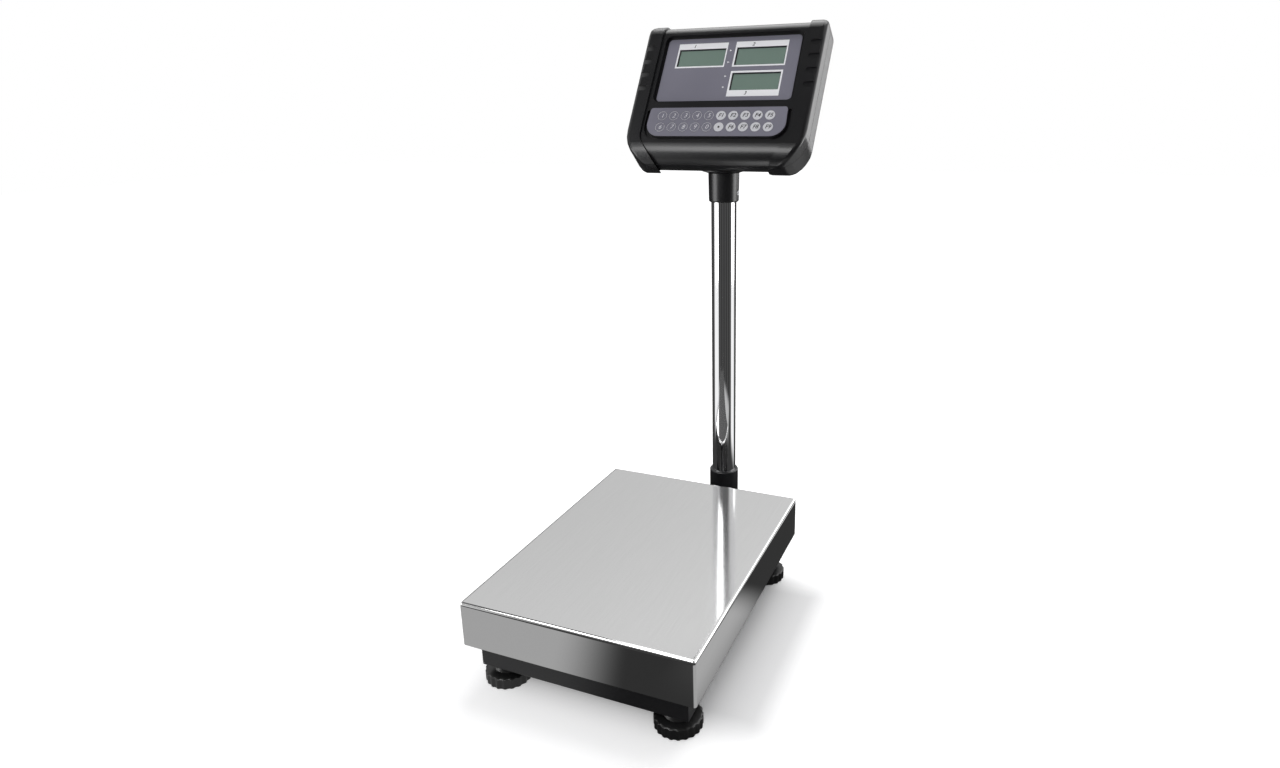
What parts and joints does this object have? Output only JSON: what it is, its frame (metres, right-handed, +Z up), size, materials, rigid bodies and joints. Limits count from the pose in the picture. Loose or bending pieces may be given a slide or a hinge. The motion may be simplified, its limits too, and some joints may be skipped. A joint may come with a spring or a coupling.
{
  "type": "platform scale",
  "caption": "Bench platform scale with a stainless pan on a welded base, levelling feet, a chromed column and a tilted counting indicator.",
  "frame": {"origin": "on the floor, in the middle of the whole scale's bounding box", "axes": "+Z up, +X right along the pan's short side as seen by the user, +Y from the user back to the column"},
  "size_m": [0.3, 0.5906, 0.7893],
  "materials": {
    "frame_paint": "satin black powder coat",
    "stainless": "brushed stainless sheet",
    "chrome_tube": "bright chrome plating",
    "black_moulding": "fine matt black moulding",
    "foot_plastic": "black nylon",
    "zinc_steel": "zinc plated steel",
    "cell_aluminium": "machined aluminium",
    "pad_rubber": "black rubber",
    "panel_print": "printed grey-violet film",
    "key_print": "printed light grey film",
    "lcd_glass": "grey-green display glass",
    "board": "green circuit board",
    "battery_case": "dark grey battery case",
    "gloss_black": "gloss black moulding"
  },
  "bodies": {
    "base": {"base_frame": "frame_paint", "load_cell": "cell_aluminium", "load_frame": "frame_paint", "cell_screw_fixed_front": "zinc_steel", "cell_screw_fixed_rear": "zinc_steel", "cell_screw_free_front": "zinc_steel", "cell_screw_free_rear": "zinc_steel", "pan_pad_front_left": "pad_rubber", "pan_pad_front_right": "pad_rubber", "pan_pad_rear_left": "pad_rubber", "pan_pad_rear_right": "pad_rubber", "column_socket": "black_moulding", "column_tube": "chrome_tube", "post_socket": "black_moulding", "set_screw": "zinc_steel"},
    "pan": {"pan": "stainless"},
    "head": {"front_shell": "black_moulding", "rear_shell": "black_moulding", "side_cap_left": "black_moulding", "side_cap_right": "black_moulding", "display_window": "panel_print", "display_module": "lcd_glass", "circuit_board": "board", "keypad_membrane": "panel_print", "battery": "battery_case", "power_jack": "gloss_black", "case_screw_top_left": "zinc_steel", "case_screw_top_right": "zinc_steel", "case_screw_low_left": "zinc_steel", "case_screw_low_right": "zinc_steel"},
    "battery_cover": {"battery_cover": "black_moulding"},
    "power_switch": {"power_switch": "gloss_black"},
    "foot_stud_front_left": {"foot_stud_front_left": "zinc_steel"},
    "foot_wheel_front_left": {"foot_wheel_front_left": "foot_plastic"},
    "foot_stud_front_right": {"foot_stud_front_right": "zinc_steel"},
    "foot_wheel_front_right": {"foot_wheel_front_right": "foot_plastic"},
    "foot_stud_rear_left": {"foot_stud_rear_left": "zinc_steel"},
    "foot_wheel_rear_left": {"foot_wheel_rear_left": "foot_plastic"},
    "foot_stud_rear_right": {"foot_stud_rear_right": "zinc_steel"},
    "foot_wheel_rear_right": {"foot_wheel_rear_right": "foot_plastic"},
    "key_1": {"key_1": "key_print"},
    "key_2": {"key_2": "key_print"},
    "key_3": {"key_3": "key_print"},
    "key_4": {"key_4": "key_print"},
    "key_5": {"key_5": "key_print"},
    "key_unit_weight": {"key_unit_weight": "key_print"},
    "key_pieces": {"key_pieces": "key_print"},
    "key_add": {"key_add": "key_print"},
    "key_recall": {"key_recall": "key_print"},
    "key_preset": {"key_preset": "key_print"},
    "key_6": {"key_6": "key_print"},
    "key_7": {"key_7": "key_print"},
    "key_8": {"key_8": "key_print"},
    "key_9": {"key_9": "key_print"},
    "key_0": {"key_0": "key_print"},
    "key_point": {"key_point": "key_print"},
    "key_clear": {"key_clear": "key_print"},
    "key_check": {"key_check": "key_print"},
    "key_tare": {"key_tare": "key_print"},
    "key_zero": {"key_zero": "key_print"}
  },
  "joints": [
    {"name": "pan_lift_off", "type": "slide", "parent": "base", "child": "pan", "axis": [0, 0, 1], "range_m": [0, 0.12]},
    {"name": "head_swivel", "type": "hinge", "parent": "base", "child": "head", "pos_m": [0, 0.20467, 0.5785], "axis": [0, 0, 1], "range_deg": [-150, 150]},
    {"name": "battery_cover_pull", "type": "slide", "parent": "head", "child": "battery_cover", "axis": [0, 1, 0], "range_m": [0, 0.06]},
    {"name": "power_switch_rock", "type": "hinge", "parent": "head", "child": "power_switch", "pos_m": [0.06, 0.23467, 0.58375], "axis": [-1, 0, 0], "range_deg": [0, 14]},
    {"name": "foot_front_left_lift", "type": "slide", "parent": "base", "child": "foot_stud_front_left", "axis": [0, 0, -1], "range_m": [0, 0.0075]},
    {"name": "foot_front_left_turn", "type": "hinge", "parent": "foot_stud_front_left", "child": "foot_wheel_front_left", "pos_m": [-0.1137, -0.25904, 0], "axis": [0, 0, -1], "range_deg": [0, 1800]},
    {"name": "foot_front_right_lift", "type": "slide", "parent": "base", "child": "foot_stud_front_right", "axis": [0, 0, -1], "range_m": [0, 0.0075]},
    {"name": "foot_front_right_turn", "type": "hinge", "parent": "foot_stud_front_right", "child": "foot_wheel_front_right", "pos_m": [0.1137, -0.25904, 0], "axis": [0, 0, -1], "range_deg": [0, 1800]},
    {"name": "foot_rear_left_lift", "type": "slide", "parent": "base", "child": "foot_stud_rear_left", "axis": [0, 0, -1], "range_m": [0, 0.0075]},
    {"name": "foot_rear_left_turn", "type": "hinge", "parent": "foot_stud_rear_left", "child": "foot_wheel_rear_left", "pos_m": [-0.1137, 0.06836, 0], "axis": [0, 0, -1], "range_deg": [0, 1800]},
    {"name": "foot_rear_right_lift", "type": "slide", "parent": "base", "child": "foot_stud_rear_right", "axis": [0, 0, -1], "range_m": [0, 0.0075]},
    {"name": "foot_rear_right_turn", "type": "hinge", "parent": "foot_stud_rear_right", "child": "foot_wheel_rear_right", "pos_m": [0.1137, 0.06836, 0], "axis": [0, 0, -1], "range_deg": [0, 1800]},
    {"name": "key_1_press", "type": "slide", "parent": "head", "child": "key_1", "axis": [0, 0.8368, -0.5476], "range_m": [0, 0.0005], "stiffness_N_per_m": 2000, "springref_m": -0.0002},
    {"name": "key_2_press", "type": "slide", "parent": "head", "child": "key_2", "axis": [0, 0.8368, -0.5476], "range_m": [0, 0.0005], "stiffness_N_per_m": 2000, "springref_m": -0.0002},
    {"name": "key_3_press", "type": "slide", "parent": "head", "child": "key_3", "axis": [0, 0.8368, -0.5476], "range_m": [0, 0.0005], "stiffness_N_per_m": 2000, "springref_m": -0.0002},
    {"name": "key_4_press", "type": "slide", "parent": "head", "child": "key_4", "axis": [0, 0.8368, -0.5476], "range_m": [0, 0.0005], "stiffness_N_per_m": 2000, "springref_m": -0.0002},
    {"name": "key_5_press", "type": "slide", "parent": "head", "child": "key_5", "axis": [0, 0.8368, -0.5476], "range_m": [0, 0.0005], "stiffness_N_per_m": 2000, "springref_m": -0.0002},
    {"name": "key_unit_weight_press", "type": "slide", "parent": "head", "child": "key_unit_weight", "axis": [0, 0.8368, -0.5476], "range_m": [0, 0.0005], "stiffness_N_per_m": 2000, "springref_m": -0.0002},
    {"name": "key_pieces_press", "type": "slide", "parent": "head", "child": "key_pieces", "axis": [0, 0.8368, -0.5476], "range_m": [0, 0.0005], "stiffness_N_per_m": 2000, "springref_m": -0.0002},
    {"name": "key_add_press", "type": "slide", "parent": "head", "child": "key_add", "axis": [0, 0.8368, -0.5476], "range_m": [0, 0.0005], "stiffness_N_per_m": 2000, "springref_m": -0.0002},
    {"name": "key_recall_press", "type": "slide", "parent": "head", "child": "key_recall", "axis": [0, 0.8368, -0.5476], "range_m": [0, 0.0005], "stiffness_N_per_m": 2000, "springref_m": -0.0002},
    {"name": "key_preset_press", "type": "slide", "parent": "head", "child": "key_preset", "axis": [0, 0.8368, -0.5476], "range_m": [0, 0.0005], "stiffness_N_per_m": 2000, "springref_m": -0.0002},
    {"name": "key_6_press", "type": "slide", "parent": "head", "child": "key_6", "axis": [0, 0.8368, -0.5476], "range_m": [0, 0.0005], "stiffness_N_per_m": 2000, "springref_m": -0.0002},
    {"name": "key_7_press", "type": "slide", "parent": "head", "child": "key_7", "axis": [0, 0.8368, -0.5476], "range_m": [0, 0.0005], "stiffness_N_per_m": 2000, "springref_m": -0.0002},
    {"name": "key_8_press", "type": "slide", "parent": "head", "child": "key_8", "axis": [0, 0.8368, -0.5476], "range_m": [0, 0.0005], "stiffness_N_per_m": 2000, "springref_m": -0.0002},
    {"name": "key_9_press", "type": "slide", "parent": "head", "child": "key_9", "axis": [0, 0.8368, -0.5476], "range_m": [0, 0.0005], "stiffness_N_per_m": 2000, "springref_m": -0.0002},
    {"name": "key_0_press", "type": "slide", "parent": "head", "child": "key_0", "axis": [0, 0.8368, -0.5476], "range_m": [0, 0.0005], "stiffness_N_per_m": 2000, "springref_m": -0.0002},
    {"name": "key_point_press", "type": "slide", "parent": "head", "child": "key_point", "axis": [0, 0.8368, -0.5476], "range_m": [0, 0.0005], "stiffness_N_per_m": 2000, "springref_m": -0.0002},
    {"name": "key_clear_press", "type": "slide", "parent": "head", "child": "key_clear", "axis": [0, 0.8368, -0.5476], "range_m": [0, 0.0005], "stiffness_N_per_m": 2000, "springref_m": -0.0002},
    {"name": "key_check_press", "type": "slide", "parent": "head", "child": "key_check", "axis": [0, 0.8368, -0.5476], "range_m": [0, 0.0005], "stiffness_N_per_m": 2000, "springref_m": -0.0002},
    {"name": "key_tare_press", "type": "slide", "parent": "head", "child": "key_tare", "axis": [0, 0.8368, -0.5476], "range_m": [0, 0.0005], "stiffness_N_per_m": 2000, "springref_m": -0.0002},
    {"name": "key_zero_press", "type": "slide", "parent": "head", "child": "key_zero", "axis": [0, 0.8368, -0.5476], "range_m": [0, 0.0005], "stiffness_N_per_m": 2000, "springref_m": -0.0002}
  ],
  "couplings": [
    {"joint": "foot_front_left_turn", "follows": "foot_front_left_lift", "rad_per_m": 4188.8},
    {"joint": "foot_front_right_turn", "follows": "foot_front_right_lift", "rad_per_m": 4188.8},
    {"joint": "foot_rear_left_turn", "follows": "foot_rear_left_lift", "rad_per_m": 4188.8},
    {"joint": "foot_rear_right_turn", "follows": "foot_rear_right_lift", "rad_per_m": 4188.8}
  ]
}
